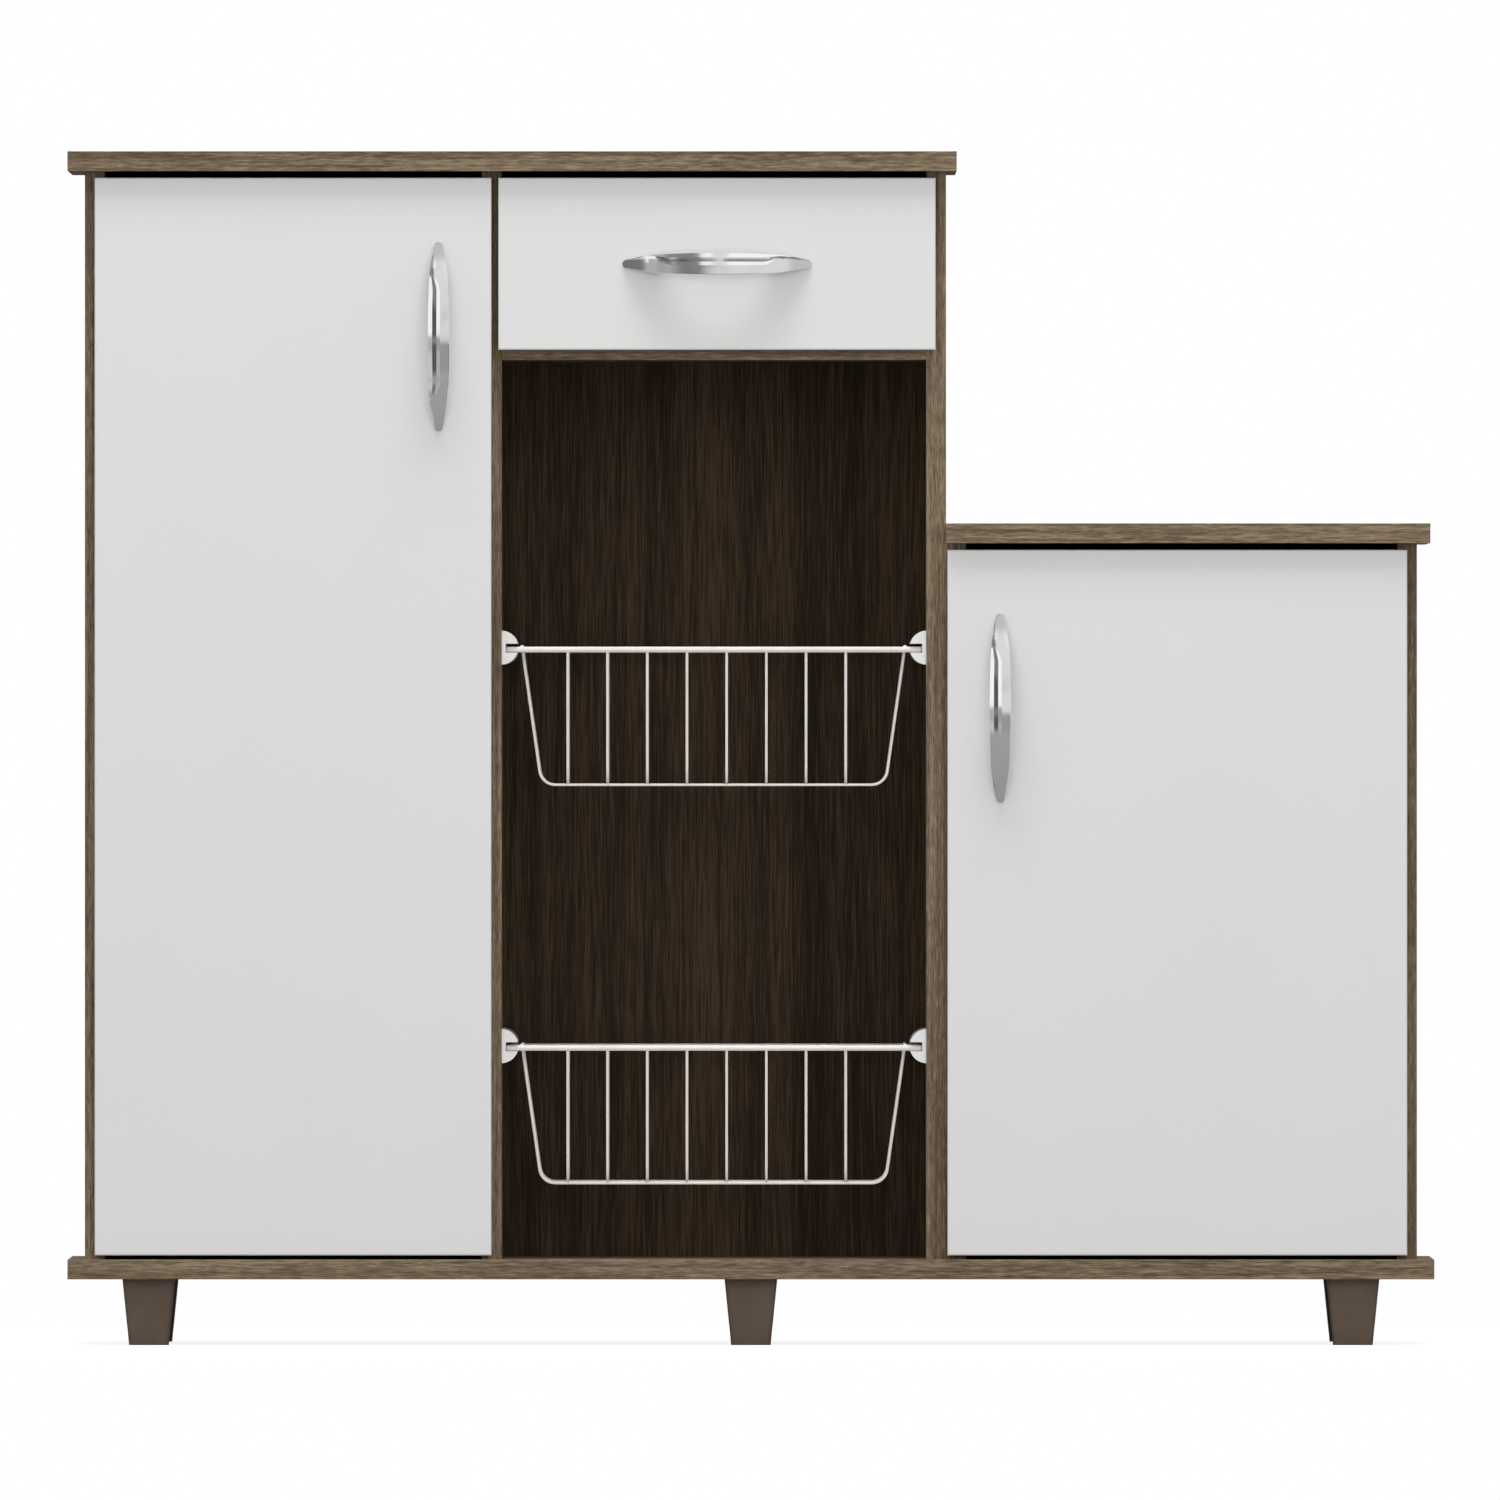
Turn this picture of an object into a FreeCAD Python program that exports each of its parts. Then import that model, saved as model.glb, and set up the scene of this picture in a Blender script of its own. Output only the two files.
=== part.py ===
import FreeCAD, Part
import math
import os
import Sketcher
from FreeCAD import Placement, Rotation, Vector

# A fitted kitchen unit on six feet: a tall module with a door, a drawer and a bay with two wire
# baskets, and a lower module with a door. X runs to the right, Y to the back and Z up. The origin is
# on the floor, in the middle of the outline seen from above. All lengths are in millimetres.

SIZES = {
    # Carcass boards
    "board": "15",
    "end_overhang": "13",
    "left_bay": "286",
    "middle_bay": "322",
    "low_bay": "327",
    "tall_height": "905",
    "low_height": "623",
    "tall_top_lip": "8",
    "low_top_lip": "10",
    "drawer_bay": "128",
    "board_depth": "380",
    "back_sheet": "3",
    "back_sheet_rim": "2",
    # Feet
    "foot_height": "50",
    "foot_top": "40",
    "foot_base": "30",
    "foot_corner": "3.5",
    "foot_wall": "2.5",
    "foot_sole": "3",
    "foot_boss": "6",
    "foot_rib": "1.8",
    "foot_screw_hole": "2",
    "foot_screw_depth": "30",
    "foot_side_inset": "61.5",
    "foot_end_inset": "35",
    # Shelves and their pins
    "shelf_side_gap": "1",
    "shelf_front_inset": "20",
    "shelf_back_gap": "2",
    "upper_shelf_drop": "275",
    "lower_shelf_height": "340",
    "pin_radius": "2.5",
    "pin_grip": "8",
    "pin_fit": "0.05",
    "pin_inset": "32",
    # Screws that hold the panels to the bottom board
    "panel_screw_radius": "2.5",
    "panel_screw_length": "45",
    "panel_screw_head": "4",
    "panel_screw_head_depth": "4",
    "panel_screw_inset": "60",
    "screw_fit": "0.05",
    # Doors and the drawer front
    "door": "15",
    "door_setback": "8",
    "door_gap": "3",
    "door_lap": "7.5",
    "door_free_lap": "7.3",
    "low_door_free_lap": "14",
    "front_lap_left": "2.5",
    "front_lap_right": "7",
    "front_lap_below": "7.5",
    "door_top_gap": "5",
    "door_bottom_gap": "3",
    "door_edge_round": "1.2",
    "edge_match": "0.01",
    # Concealed hinges
    "cup_radius": "17.5",
    "cup_depth": "12.5",
    "cup_wall": "1",
    "cup_floor": "0.8",
    "cup_edge": "3",
    "cup_fit": "0.1",
    "cup_rim": "1.5",
    "cup_flange": "1",
    "cup_wing_half": "28",
    "cup_wing_near": "2",
    "cup_wing_far": "14.5",
    "cup_wing_corner": "4",
    "cup_screw_half": "22.5",
    "cup_screw_back": "9",
    "hinge_pin_edge": "7.4",
    "hinge_pin_depth": "9.2",
    "hinge_pin_radius": "1",
    "hinge_pin_half": "8.5",
    "hinge_pin_fit": "0.1",
    "hinge_eye": "2",
    "hinge_eye_half": "5",
    "ear_inner": "5.5",
    "ear_outer": "9.5",
    "ear_back": "1.5",
    "ear_front": "3",
    "ear_rise": "4",
    "arm_plate": "1.5",
    "arm_reach": "12.3",
    "arm_out": "17",
    "arm_length": "62",
    "arm_half": "7",
    "arm_height": "12",
    "arm_stand": "6",
    "arm_corner": "3",
    "mount_plate": "2",
    "mount_plate_half": "25",
    "mount_block_half": "8",
    "mount_screw_back": "37",
    "mount_depth": "16",
    "mount_screw_half": "16",
    "hinge_end_inset": "100",
    # Small screws
    "screw_radius": "1.6",
    "screw_head": "3.4",
    "screw_head_height": "1.6",
    "screw_length": "11",
    # Handles
    "handle_length": "143.5",
    "handle_width": "16.4",
    "handle_rise": "28",
    "handle_end_width": "11",
    "handle_foot_start": "48",
    "handle_tip": "1.5",
    "handle_tip_width": "6.6",
    "handle_tip_round": "2.6",
    "handle_gap_half": "45",
    "handle_gap_rise": "22",
    "handle_screw_half": "48",
    "handle_screw_radius": "2",
    "handle_screw_grip": "8",
    "handle_screw_head": "4",
    "handle_screw_head_height": "2.4",
    "handle_screw_play": "0.25",
    "handle_facet": "1.5",
    "handle_edge_round": "1.5",
    "handle_edge_inset": "40",
    "handle_drop": "120.5",
    "low_handle_drop": "120",
    # Drawer
    "drawer_side": "12",
    "drawer_side_gap": "5",
    "drawer_side_height": "90",
    "drawer_lift": "13",
    "drawer_length": "347",
    "drawer_back_drop": "12",
    "drawer_floor": "3",
    "drawer_floor_rise": "8",
    "drawer_floor_groove": "4",
    "drawer_floor_play": "0.2",
    "strip_height": "17",
    "strip_grip": "4.5",
    "strip_play": "0.3",
    "strip_front_inset": "6",
    "strip_back_inset": "8",
    "strip_end_round": "4",
    # Basket runners
    "runner_half": "12.85",
    "runner_rise": "12.6",
    "runner_base": "3",
    "runner_front_inset": "2",
    "runner_back_inset": "7",
    "slot_below": "2.4",
    "slot_above": "4.4",
    "runner_above_rod": "1.4",
    # Wire baskets
    "upper_rod_height": "527.5",
    "lower_rod_height": "225.2",
    "rod_radius": "2.1",
    "rod_end_play": "0.5",
    "basket_length": "300",
    "basket_front_inset": "14",
    "side_rod_radius": "1.5",
    "side_rod_left": "11.9",
    "side_rod_right": "12.7",
    "side_rod_rise": "1.8",
    "wire_radius": "0.95",
    "wire_bend": "12",
    "wire_lean": "14.6",
    "basket_drop": "102.7",
    "weld_gap": "0.1",
    "long_wire_first": "34.6",
    "long_wire_pitch": "30.15",
    # How far a cutting shape runs past what it cuts
    "overrun": "1",
}
LONG_WIRES = 8
CROSS_WIRES = 5

doc = FreeCAD.newDocument("kitchen_cabinet")
sheet = doc.addObject("Spreadsheet::Sheet", "Sizes")
for row, (alias, amount) in enumerate(SIZES.items(), 1):
    sheet.set(f"A{row}", alias)
    sheet.set(f"B{row}", amount)
    sheet.setAlias(f"B{row}", alias)
doc.recompute()


class Size:
    """A length that carries its number and its formula on the sheet, so that a sum of sizes can be bound."""

    def __init__(self, number, formula):
        self.number = number
        self.formula = formula

    def __add__(self, other):
        return Size(self.number + other.number, f"({self.formula} + {other.formula})")

    def __sub__(self, other):
        return Size(self.number - other.number, f"({self.formula} - {other.formula})")

    def __neg__(self):
        return Size(-self.number, f"(-{self.formula})")

    def __mul__(self, other):
        other = ratio(other)
        return Size(self.number * other.number, f"({self.formula} * {other.formula})")

    def __truediv__(self, other):
        other = ratio(other)
        return Size(self.number / other.number, f"({self.formula} / {other.formula})")

    def root(self):
        return Size(math.sqrt(self.number), f"sqrt({self.formula})")


def ratio(value):
    """A plain number or a size, ready to multiply or divide by."""
    return value if isinstance(value, Size) else Size(float(value), repr(value))


def size(alias):
    return Size(float(SIZES[alias]), f"Sizes.{alias}")


def arc_radius(half_chord, rise):
    """Radius of the arc with this half chord and rise."""
    return (half_chord * half_chord + rise * rise) / (rise * 2)


zero = Size(0.0, "0")
board = size("board")
overrun = size("overrun")
PLANES = {"x": "YZ_Plane", "y": "XZ_Plane", "z": "XY_Plane"}
UP = Vector(0, 0, 1)
RIGHT = Vector(1, 0, 0)
BACK = Vector(0, 1, 0)
parts = {}
cuts = []


def bind(item, prop, length):
    item.setExpression(prop, length.formula)


def place(item, x=zero, y=zero, z=zero, axis=UP, turn=0):
    item.Placement = Placement(Vector(x.number, y.number, z.number), Rotation(axis, turn))
    bind(item, "Placement.Base.x", x)
    bind(item, "Placement.Base.y", y)
    bind(item, "Placement.Base.z", z)


def hold(sketch, kind, *where):
    """Adds one dimension to a sketch and binds it to its size, which comes last."""
    row = sketch.addConstraint(Sketcher.Constraint(kind, *where[:-1], where[-1].number))
    sketch.setExpression(f"Constraints[{row}]", where[-1].formula)


def lock(sketch, shape, point, x, y):
    hold(sketch, "DistanceX", -1, 1, shape, point, x)
    hold(sketch, "DistanceY", -1, 1, shape, point, y)


def side(start, end, radius):
    """A straight side, or an arc that turns left for a positive radius and right for a negative one."""
    a = Vector(start[0].number, start[1].number, 0)
    b = Vector(end[0].number, end[1].number, 0)
    if radius is None:
        return Part.LineSegment(a, b), 1, 2
    half = (b - a) / 2
    left = Vector(-half.y, half.x, 0).normalize()
    inward = math.sqrt(max(radius.number ** 2 - half.Length ** 2, 0))
    centre = a + half + left * math.copysign(inward, radius.number)
    first, last = (a, b) if radius.number > 0 else (b, a)
    angles = [math.atan2(p.y - centre.y, p.x - centre.x) for p in (first, last)]
    arc = Part.ArcOfCircle(Part.Circle(centre, UP, abs(radius.number)), *angles)
    return (arc, 1, 2) if radius.number > 0 else (arc, 2, 1)


def path(corners, arcs=None, closed=True):
    """Draws an outline through corners; arcs gives the radius of the side that leaves a corner."""
    arcs = arcs or {}

    def draw(sketch):
        count = len(corners) if closed else len(corners) - 1
        drawn = []
        for i in range(count):
            shape, first, last = side(corners[i], corners[(i + 1) % len(corners)], arcs.get(i))
            row = sketch.addGeometry(shape)
            lock(sketch, row, first, *corners[i])
            if i in arcs:
                length = arcs[i] if arcs[i].number > 0 else -arcs[i]
                hold(sketch, "Radius", row, length)
            drawn.append((row, first, last))
        for i, (row, first, last) in enumerate(drawn):
            if closed or i + 1 < count:
                follower = drawn[(i + 1) % count]
                sketch.addConstraint(Sketcher.Constraint("Coincident", row, last, follower[0], follower[1]))
            else:
                lock(sketch, row, last, *corners[i + 1])

    return draw


def rectangle(x, y):
    return path([(x[0], y[0]), (x[1], y[0]), (x[1], y[1]), (x[0], y[1])])


def rounded(x, y, corner):
    """A rectangle with four round corners."""
    return path(
        [
            (x[0] + corner, y[0]),
            (x[1] - corner, y[0]),
            (x[1], y[0] + corner),
            (x[1], y[1] - corner),
            (x[1] - corner, y[1]),
            (x[0] + corner, y[1]),
            (x[0], y[1] - corner),
            (x[0], y[0] + corner),
        ],
        {1: corner, 3: corner, 5: corner, 7: corner},
    )


def circles(centres, radius):
    def draw(sketch):
        for x, y in centres:
            row = sketch.addGeometry(Part.Circle(Vector(x.number, y.number, 0), UP, radius.number))
            lock(sketch, row, 3, x, y)
            hold(sketch, "Radius", row, radius)

    return draw


class Piece:
    """One rigid piece: a body whose sketches and features follow the sheet."""

    def __init__(self, name, shown=True):
        self.body = doc.addObject("PartDesign::Body", name)
        self.body.Label = name
        if shown:
            parts[name] = self.body

    def sketch(self, across, start, *drawings):
        """A sketch square to one axis, at a place along it."""
        sketch = self.body.newObject("Sketcher::SketchObject", "sketch")
        plane = next(item for item in self.body.Origin.OriginFeatures if item.Role == PLANES[across])
        lift = -start if across == "y" else start
        sketch.AttachmentSupport = [(plane, "")]
        sketch.MapMode = "FlatFace"
        sketch.AttachmentOffset = Placement(Vector(0, 0, lift.number), Rotation())
        bind(sketch, "AttachmentOffset.Base.z", lift)
        for draw in drawings:
            draw(sketch)
        return sketch

    def feature(self, kind, sketch, **settings):
        made = self.body.newObject(f"PartDesign::{kind}", kind.lower())
        made.Profile = sketch
        for key, value in settings.items():
            if isinstance(value, Size):
                bind(made, key, value)
            else:
                setattr(made, key, value)
        return made

    def pad(self, across, start, end, *drawings):
        """Material from start to the higher end along an axis."""
        sketch = self.sketch(across, start, *drawings)
        return self.feature("Pad", sketch, Length=end - start, Reversed=across == "y")

    def pocket(self, across, start, end, *drawings):
        """A cut from start to the higher end along an axis."""
        sketch = self.sketch(across, start, *drawings)
        made = self.feature("Pocket", sketch, Length=end - start, Reversed=across != "y")
        cuts.append(made)
        return made

    def turned(self, outline):
        """A shape turned about the Y axis of the body, from an outline of radius and place along it."""
        sketch = self.sketch("z", zero, outline)
        return self.feature("Revolution", sketch, ReferenceAxis=(sketch, ["V_Axis"]), Angle=360)

    def loft(self, kind, low, high):
        made = self.feature(kind, low, Sections=[high])
        if kind.startswith("Subtractive"):
            cuts.append(made)
        return made

    def soften(self, kind, radius, wanted):
        """Rounds or bevels the edges that a test picks."""
        doc.recompute()
        last = self.body.Tip
        names = [f"Edge{i}" for i, edge in enumerate(last.Shape.Edges, 1) if wanted(edge.BoundBox)]
        made = self.body.newObject(f"PartDesign::{kind}", kind.lower())
        made.Base = (last, names)
        bind(made, "Radius" if kind == "Fillet" else "Size", radius)
        return made


def block(name, x, y, z):
    piece = Piece(name)
    piece.pad("z", z[0], z[1], rectangle(x, y))
    return piece


def copies(master, places, axis=UP, turn=0):
    """One copy of a piece at each place."""
    links = []
    for x, y, z in places:
        link = doc.addObject("App::Link", f"{master.body.Label}_copy")
        link.LinkedObject = master.body
        place(link, x, y, z, axis, turn)
        links.append(link)
    return links


def group(name, links):
    """Equal pieces that share one node, as separate solids."""
    made = doc.addObject("Part::Compound", name)
    made.Label = name
    made.Links = links
    parts[name] = made


# Places that several pieces share, all worked out from the sheet
panels_width = size("left_bay") + size("middle_bay") + size("low_bay") + board * 5
outer_width = panels_width + size("end_overhang") * 2
left_end = -outer_width / 2
right_end = outer_width / 2
left_face = left_end + size("end_overhang")
divider_left = left_face + board + size("left_bay")
divider_right = divider_left + board
tall_right = divider_right + size("middle_bay")
tall_end = tall_right + board
low_left = tall_end + board
low_right = low_left + size("low_bay")
right_face = low_right + board

handle_stand = size("handle_rise") - size("door_setback")
full_depth = size("board_depth") + handle_stand
handle_front = -full_depth / 2
board_front = handle_front + handle_stand
board_back = full_depth / 2
door_front = board_front + size("door_setback")
door_back = door_front + size("door")
panel_front = door_back + size("door_gap")
panel_back = board_back - size("back_sheet")

floor_low = size("foot_height")
floor_top = floor_low + board
tall_top_low = size("tall_height") - board
low_top_low = size("low_height") - board
rail_top = tall_top_low - size("drawer_bay")
rail_low = rail_top - board

door_low = floor_top + size("door_bottom_gap")
tall_door_top = tall_top_low - size("door_top_gap")
low_door_top = low_top_low - size("door_top_gap")
front_low = rail_top - size("front_lap_below")
left_door = (left_face + size("door_lap"), divider_left + size("door_free_lap"))
right_door = (tall_end + board - size("low_door_free_lap"), right_face - size("door_lap"))
drawer_front = (divider_right - size("front_lap_left"), tall_right + size("front_lap_right"))

tall_hinges = [
    tall_door_top - size("hinge_end_inset"),
    (tall_door_top + door_low) / 2,
    door_low + size("hinge_end_inset"),
]
low_hinges = [low_door_top - size("hinge_end_inset"), door_low + size("hinge_end_inset")]
pin_y = door_back - size("hinge_pin_depth")
mount_y = panel_front + size("mount_screw_back")
upper_shelf = size("tall_height") - size("upper_shelf_drop") - board
lower_shelf = size("lower_shelf_height")
shelf_front = panel_front + size("shelf_front_inset")
shelf_back = panel_back - size("shelf_back_gap")
pin_places_y = [shelf_front + size("pin_inset"), shelf_back - size("pin_inset")]
panel_screws_y = [panel_front + size("panel_screw_inset"), panel_back - size("panel_screw_inset")]
depth_span = (board_front, board_back)
panel_span = (panel_front, panel_back)


def cross(first, second):
    return [(a, b) for a in first for b in second]


# Carcass


def panel(name, x, top):
    """An upright panel, with the two blind holes for the screws that come up through the bottom board."""
    piece = block(name, (x, x + board), panel_span, (floor_top, top))
    depth = size("panel_screw_length") - board
    holes = circles(cross([x + board / 2], panel_screws_y), size("panel_screw_radius") + size("screw_fit"))
    piece.pocket("z", floor_top, floor_top + depth + size("screw_fit"), holes)
    return piece


def pin_holes(piece, face, inside, shelves):
    """Blind holes for shelf pins, drilled from a panel's face to its inside."""
    places = cross(pin_places_y, [height - size("pin_radius") for height in shelves])
    low, high = (inside, face) if inside.number < face.number else (face, inside)
    piece.pocket("x", low, high, circles(places, size("pin_radius") + size("pin_fit")))


def plate_holes(piece, low, high, hinges):
    """Blind holes for the two screws of each hinge's mounting plate."""
    heights = [h + size("mount_screw_half") for h in hinges] + [h - size("mount_screw_half") for h in hinges]
    radius = size("screw_radius") + size("screw_fit")
    piece.pocket("x", low, high, circles(cross([mount_y], heights), radius))


def carcass():
    upright = {
        "left_side_panel": (left_face, tall_top_low),
        "centre_divider": (divider_left, tall_top_low),
        "tall_right_panel": (tall_right, tall_top_low),
        "low_left_panel": (tall_end, low_top_low),
        "low_right_panel": (low_right, low_top_low),
    }
    panels = {name: panel(name, *spec) for name, spec in upright.items()}
    grip = size("pin_grip") + size("pin_fit")
    inner = left_face + board
    pin_holes(panels["left_side_panel"], inner, inner - grip, [upper_shelf, lower_shelf])
    pin_holes(panels["centre_divider"], divider_left, divider_left + grip, [upper_shelf, lower_shelf])
    pin_holes(panels["low_left_panel"], low_left, low_left - grip, [lower_shelf])
    pin_holes(panels["low_right_panel"], low_right, low_right + grip, [lower_shelf])
    screw = size("screw_length") - size("mount_plate") + size("screw_fit")
    plate_holes(panels["left_side_panel"], inner - screw, inner, tall_hinges)
    plate_holes(panels["low_right_panel"], low_right, low_right + screw, low_hinges)

    floor = block("bottom_board", (left_end, right_end), depth_span, (floor_low, floor_top))
    screws = cross([spec[0] + board / 2 for spec in upright.values()], panel_screws_y)
    wide = size("panel_screw_head") + size("screw_fit")
    narrow = size("panel_screw_radius") + size("screw_fit")
    floor.pocket("z", floor_low, floor_low + size("panel_screw_head_depth"), circles(screws, wide))
    floor.pocket("z", floor_low, floor_top, circles(screws, narrow))

    tall_span = (left_end, tall_end + size("tall_top_lip"))
    block("tall_top_board", tall_span, depth_span, (tall_top_low, size("tall_height")))
    low_span = (tall_end, right_face + size("low_top_lip"))
    block("low_top_board", low_span, depth_span, (low_top_low, size("low_height")))
    block("drawer_shelf_board", (divider_right, tall_right), panel_span, (rail_low, rail_top))
    rim = size("back_sheet_rim")
    back = (panel_back, board_back)
    block("tall_back_sheet", (left_face + rim, tall_end - rim), back, (floor_top, tall_top_low))
    block("low_back_sheet", (tall_end + rim, right_face - rim), back, (floor_top, low_top_low))
    return screws


def shelf(name, low, high, height):
    gap = size("shelf_side_gap")
    block(name, (low + gap, high - gap), (shelf_front, shelf_back), (height, height + board))


def shelves():
    left = (left_face + board, divider_left)
    low = (low_left, low_right)
    shelf("upper_left_shelf", *left, upper_shelf)
    shelf("lower_left_shelf", *left, lower_shelf)
    shelf("low_shelf", *low, lower_shelf)
    pin = Piece("shelf_pin", shown=False)
    pin.turned(rectangle((zero, size("pin_radius")), (-size("pin_grip"), size("pin_grip"))))
    places = []
    for faces, height in ((left, upper_shelf), (left, lower_shelf), (low, lower_shelf)):
        z = height - size("pin_radius")
        places += [(x, y, z) for x, y in cross(faces, pin_places_y)]
    group("shelf_pins", copies(pin, places, UP, 90))


def screw(name, radius, length, head, head_height, sunk=False):
    """A screw whose shank runs along +Y from its origin, under a head that stands proud or is let in."""
    piece = Piece(name, shown=False)
    seat = head_height if sunk else zero
    top = zero if sunk else -head_height
    piece.turned(
        path([(zero, top), (head, top), (head, seat), (radius, seat), (radius, length), (zero, length)])
    )
    return piece


def foot(name, x, y):
    """A tapered foot, moulded hollow, with a screw boss held by two crossing ribs."""
    piece = Piece(name)
    height = size("foot_height")
    corner = size("foot_corner")
    low, high = size("foot_base") / 2, size("foot_top") / 2
    sole = size("foot_sole")
    taper = (high - low) / height

    def outside(half, z):
        return piece.sketch("z", z, rounded((-half, half), (-half, half), corner))

    def inside(half, z):
        return piece.sketch("z", z, rectangle((-half, half), (-half, half)))

    piece.loft("AdditiveLoft", outside(low, zero), outside(high, height))
    low_inner = low + taper * sole - size("foot_wall")
    high_inner = high - size("foot_wall")
    piece.loft("SubtractiveLoft", inside(low_inner, sole), inside(high_inner, height))
    piece.pad("z", sole, height, circles([(zero, zero)], size("foot_boss")))
    thin = (-size("foot_rib") / 2, size("foot_rib") / 2)
    for turn in (False, True):
        ends = []
        for half, z in ((low_inner, sole), (high_inner, height)):
            long = (-half - size("foot_wall") / 2, half + size("foot_wall") / 2)
            spans = (thin, long) if turn else (long, thin)
            ends.append(piece.sketch("z", z, rectangle(*spans)))
        piece.loft("AdditiveLoft", *ends)
    depth = height - size("foot_screw_depth")
    piece.pocket("z", depth, height, circles([(zero, zero)], size("foot_screw_hole")))
    place(piece.body, x, y)


def feet():
    across = {
        "left": left_end + size("foot_side_inset"),
        "middle": zero,
        "right": right_end - size("foot_side_inset"),
    }
    along = {
        "front": board_front + size("foot_end_inset"),
        "rear": board_back - size("foot_end_inset"),
    }
    for row, y in along.items():
        for spot, x in across.items():
            foot(f"foot_{row}_{spot}", x, y)


# Doors, their hinges and handles


def slab(name, x, z):
    """A door or drawer front, softly rounded along the four edges of its face."""
    piece = block(name, x, (door_front, door_back), z)
    face = door_front.number
    near = size("edge_match").number
    piece.soften("Fillet", size("door_edge_round"), lambda box: abs(box.YMax - face) < near)
    return piece


def hinge_bores(piece, edge, inward, heights):
    """Cup bores in the back of a door and the pilot holes of the cup screws."""
    fit = size("cup_fit")
    x = edge + (size("cup_edge") + size("cup_radius")) * inward
    places = [(x, z) for z in heights]
    piece.pocket("y", door_back - size("cup_depth"), door_back, circles(places, size("cup_radius") + fit))
    x = x + size("cup_screw_back") * inward
    reach = size("cup_screw_half")
    places = [(x, height) for z in heights for height in (z + reach, z - reach)]
    pilots = circles(places, size("screw_radius") + size("screw_fit"))
    depth = size("screw_length") - size("cup_flange") + size("screw_fit")
    piece.pocket("y", door_back - depth, door_back, pilots)
    return [(px, door_back + size("cup_flange"), pz) for px, pz in places]


def handle_bores(piece, places):
    radius = size("handle_screw_radius") + size("handle_screw_play")
    piece.pocket("y", door_front, door_back, circles(places, radius))


def hinge_cup(name, x, z, turn):
    """A pressed cup with winged flange, and the two ears inside that carry the pin."""
    piece = Piece(name)
    radius, depth, wall = size("cup_radius"), size("cup_depth"), size("cup_wall")
    flange = size("cup_flange")
    inner = radius - wall
    floor = -depth + size("cup_floor")
    rim = radius + size("cup_rim")
    piece.turned(
        path(
            [
                (zero, -depth),
                (radius, -depth),
                (radius, zero),
                (rim, zero),
                (rim, flange),
                (inner, flange),
                (inner, floor),
                (zero, floor),
            ]
        )
    )
    half = size("cup_wing_half")
    wing = rounded((-size("cup_wing_near"), size("cup_wing_far")), (-half, half), size("cup_wing_corner"))
    piece.pad("y", zero, flange, wing)
    piece.pocket("y", zero, flange, circles([(zero, zero)], inner))
    pin_x = size("hinge_pin_edge") - size("cup_edge") - radius
    pin_y_local = -size("hinge_pin_depth")
    ear_x = (pin_x - size("ear_back"), pin_x + size("ear_front"))
    for reach in ((size("ear_inner"), size("ear_outer")), (-size("ear_outer"), -size("ear_inner"))):
        piece.pad("z", reach[0], reach[1], rectangle(ear_x, (-depth, pin_y_local + size("ear_rise"))))
    pin_half = size("hinge_pin_half")
    piece.pocket("z", -pin_half, pin_half, circles([(pin_x, pin_y_local)], size("hinge_pin_radius")))
    holes = cross([size("cup_screw_back")], [size("cup_screw_half"), -size("cup_screw_half")])
    piece.pocket("y", zero, flange, circles(holes, size("screw_radius") + size("screw_fit")))
    place(piece.body, x, door_back, z, BACK, turn)


def hinge_arm(name, x, z, face, turn):
    """The fixed half of a hinge: eye, gooseneck, arm and the plate that is screwed to the panel.

    Its origin is the pin, with X into the door and Y to the back; face is the panel's face there.
    """
    piece = Piece(name)
    sheet_metal = size("arm_plate")
    eye = size("hinge_eye")
    half = size("hinge_eye_half")
    reach = size("arm_reach")
    out = size("arm_out")
    piece.pad("z", -half, half, circles([(zero, zero)], eye))
    neck = path(
        [
            (zero, -eye),
            (reach + sheet_metal, -eye),
            (reach + sheet_metal, out),
            (size("arm_stand"), out),
            (size("arm_stand"), out - sheet_metal),
            (reach, out - sheet_metal),
            (reach, -eye + sheet_metal),
            (zero, -eye + sheet_metal),
        ]
    )
    piece.pad("z", -half, half, neck)
    arm_half = size("arm_half")
    stand = face + size("arm_stand")
    top = face + size("arm_height")
    length = size("arm_length")
    piece.pad(
        "x", stand, top, rounded((out - sheet_metal, length), (-arm_half, arm_half), size("arm_corner"))
    )
    y = size("hinge_pin_depth") + size("door_gap") + size("mount_screw_back")
    deep = (y - size("mount_depth") / 2, y + size("mount_depth") / 2)
    plate_half = size("mount_plate_half")
    plate = size("mount_plate")
    piece.pad("x", face, face + plate, rounded(deep, (-plate_half, plate_half), size("arm_corner")))
    block_half = size("mount_block_half")
    piece.pad("x", face, stand, rectangle(deep, (-block_half, block_half)))
    bore = size("hinge_pin_radius") + size("hinge_pin_fit")
    piece.pocket("z", -half, half, circles([(zero, zero)], bore))
    holes = [(y, size("mount_screw_half")), (y, -size("mount_screw_half"))]
    piece.pocket("x", face, face + plate, circles(holes, size("screw_radius") + size("screw_fit")))
    place(piece.body, x, pin_y, z, BACK, turn)


def hinges(side_name, edge, inward, face, heights, turn):
    """All hinges of one door; edge is the door's hinged edge and face the panel's inner face."""
    spots = {3: ("top", "middle", "bottom"), 2: ("top", "bottom")}[len(heights)]
    pin_x = edge + size("hinge_pin_edge") * inward
    cup_x = edge + (size("cup_edge") + size("cup_radius")) * inward
    local_face = (face - pin_x) * inward
    for spot, z in zip(spots, heights):
        hinge_cup(f"{side_name}_hinge_cup_{spot}", cup_x, z, turn)
        hinge_arm(f"{side_name}_hinge_arm_{spot}", pin_x, z, local_face, turn)
    pin = Piece(f"{side_name}_hinge_pin", shown=False)
    half = size("hinge_pin_half")
    pin.turned(rectangle((zero, size("hinge_pin_radius")), (-half, half)))
    group(f"{side_name}_hinge_pins", copies(pin, [(pin_x, pin_y, z) for z in heights], RIGHT, 90))


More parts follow.
